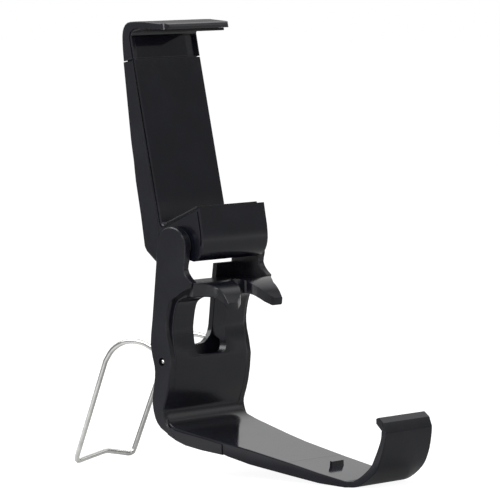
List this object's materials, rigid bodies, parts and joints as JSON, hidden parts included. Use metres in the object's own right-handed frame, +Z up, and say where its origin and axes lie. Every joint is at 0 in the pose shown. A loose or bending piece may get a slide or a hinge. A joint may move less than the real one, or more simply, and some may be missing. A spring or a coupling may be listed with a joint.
{
  "type": "controller phone clip",
  "caption": "Sprung phone clamp on a tilting arm, over a moulded bracket that hooks round a game controller, with a fold-out wire stand.",
  "frame": {"origin": "centre of the footprint, at the height of the surface it stands on", "axes": "+Z up, -Y toward the hook that grips the controller, +X across the clip to the right as the user sees it from the hook"},
  "size_m": [0.042, 0.1338, 0.1511],
  "materials": {
    "bracket_plastic": "glossy black moulding",
    "stand_wire": "bright plated wire",
    "housing_plastic": "satin black moulding",
    "cover_plastic": "fine matte black moulding",
    "pad_rubber": "matte black rubber",
    "jaw_plastic": "satin black moulding",
    "liner_plastic": "matte dark grey plate",
    "tongue_plastic": "smooth black plate",
    "screw_steel": "dark plated steel",
    "spring_steel": "drawn spring wire",
    "pin_steel": "ground steel pin",
    "bush_plastic": "natural plastic bush",
    "washer_rubber": "black friction ring"
  },
  "bodies": {
    "bracket": {"controller_bracket": "bracket_plastic", "hinge_pin": "pin_steel", "friction_washer_left": "washer_rubber", "friction_washer_right": "washer_rubber"},
    "stand": {"wire_stand": "stand_wire"},
    "arm": {"rear_housing": "housing_plastic", "front_cover": "cover_plastic", "lower_jaw_pad": "pad_rubber", "lower_anchor_pin": "pin_steel", "stop_bush": "bush_plastic", "return_spring_left": "spring_steel", "return_spring_right": "spring_steel", "housing_screw_1": "screw_steel", "housing_screw_2": "screw_steel", "housing_screw_3": "screw_steel", "housing_screw_4": "screw_steel"},
    "jaw": {"upper_jaw": "jaw_plastic", "upper_jaw_liner": "liner_plastic", "upper_jaw_pad": "pad_rubber", "slide_tongue": "tongue_plastic", "upper_anchor_pin": "pin_steel", "tongue_screw_left": "screw_steel", "tongue_screw_right": "screw_steel"}
  },
  "joints": [
    {"name": "arm_tilt", "type": "hinge", "parent": "bracket", "child": "arm", "pos_m": [0, 0.01667, 0.0767], "axis": [1, 0, 0], "range_deg": [-18, 26]},
    {"name": "jaw_slide", "type": "slide", "parent": "arm", "child": "jaw", "axis": [0, 0.1874, 0.9823], "range_m": [0, 0.022], "stiffness_N_per_m": 250, "springref_m": -0.01, "deforming": ["return_spring_left", "return_spring_right"]},
    {"name": "stand_swing", "type": "hinge", "parent": "bracket", "child": "stand", "pos_m": [0, 0.02107, 0.0378], "axis": [-1, 0, 0], "range_deg": [0, 96]}
  ]
}
